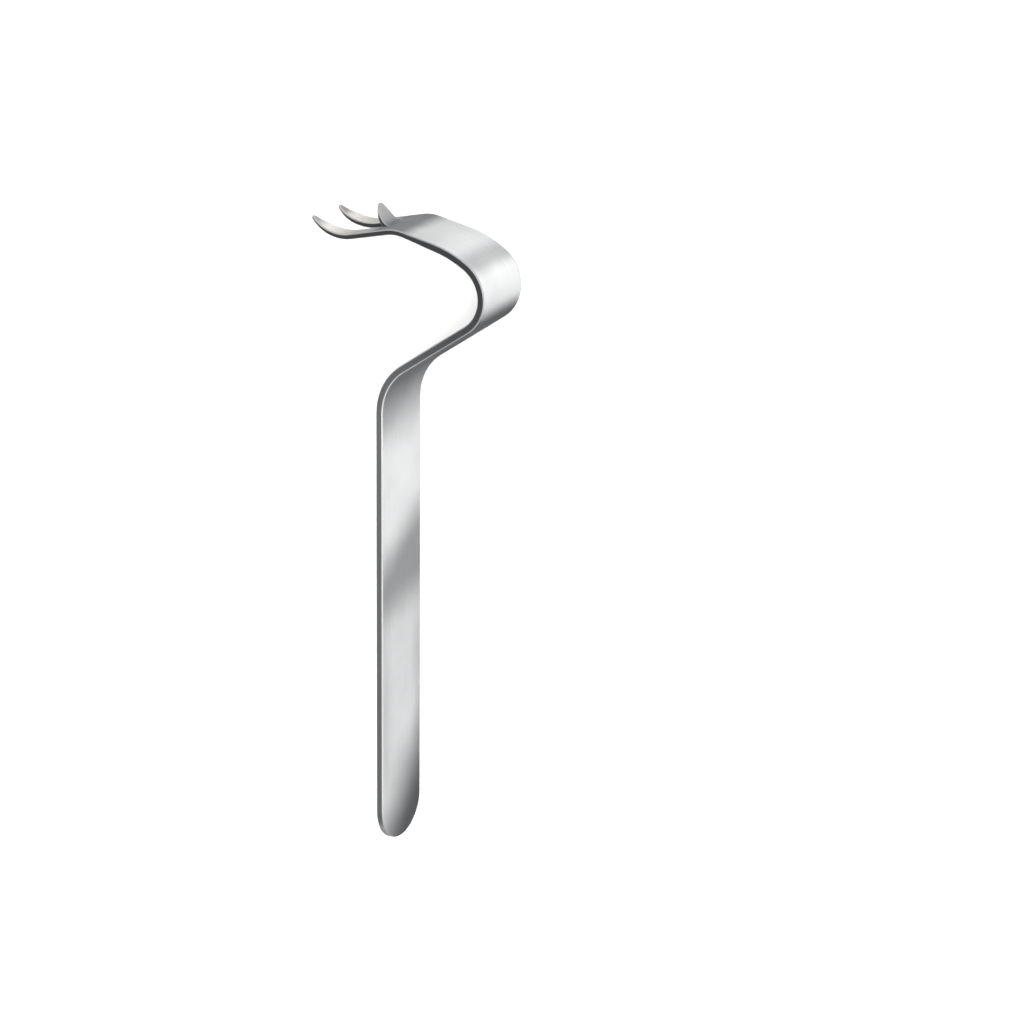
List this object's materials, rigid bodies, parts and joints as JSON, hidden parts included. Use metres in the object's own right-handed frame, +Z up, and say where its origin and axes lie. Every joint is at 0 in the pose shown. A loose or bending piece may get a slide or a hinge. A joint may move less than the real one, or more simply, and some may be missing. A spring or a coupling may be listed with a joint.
{
  "type": "surgical retractor",
  "caption": "One-piece flat steel hand retractor: long straight handle, hooked neck and a blade ending in two long upturned prongs with a short tooth between them.",
  "frame": {"origin": "centre of the footprint of the retractor as it lies on one long edge, on the surface that it rests on", "axes": "+Y along the handle towards the hook, +X square to the handle's broad face towards the outside of the hook, +Z up across the bar's width"},
  "size_m": [0.0734, 0.2438, 0.028],
  "materials": {
    "satin_steel": "satin stainless steel with rounded, brighter edges"
  },
  "bodies": {
    "root": {"retractor": "satin_steel"}
  },
  "joints": []
}
